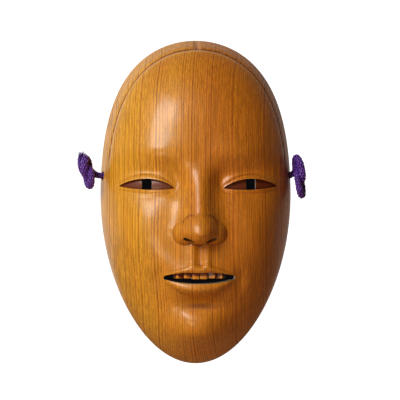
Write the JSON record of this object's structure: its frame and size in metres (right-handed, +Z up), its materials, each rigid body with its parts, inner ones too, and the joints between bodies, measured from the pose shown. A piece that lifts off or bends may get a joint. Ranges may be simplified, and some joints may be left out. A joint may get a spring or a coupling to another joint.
{
  "type": "noh mask",
  "caption": "Upright carved wooden face mask, hollow behind, with pierced eyes and mouth and a braided hanging cord knotted at the temples.",
  "frame": {"origin": "middle of the flat back rim, at half the mask's height", "axes": "+Z up from chin to crown, -Y the way the face looks, +X the viewer's right when facing the mask"},
  "size_m": [0.149, 0.0688, 0.212],
  "materials": {
    "oiled_wood": "satin oiled and lightly varnished, fine straight grain",
    "purple_braid": "braided silk-like cord with a soft sheen"
  },
  "bodies": {
    "root": {"mask_shell": "oiled_wood", "hanging_cord": "purple_braid", "left_knot": "purple_braid", "right_knot": "purple_braid"}
  },
  "joints": []
}
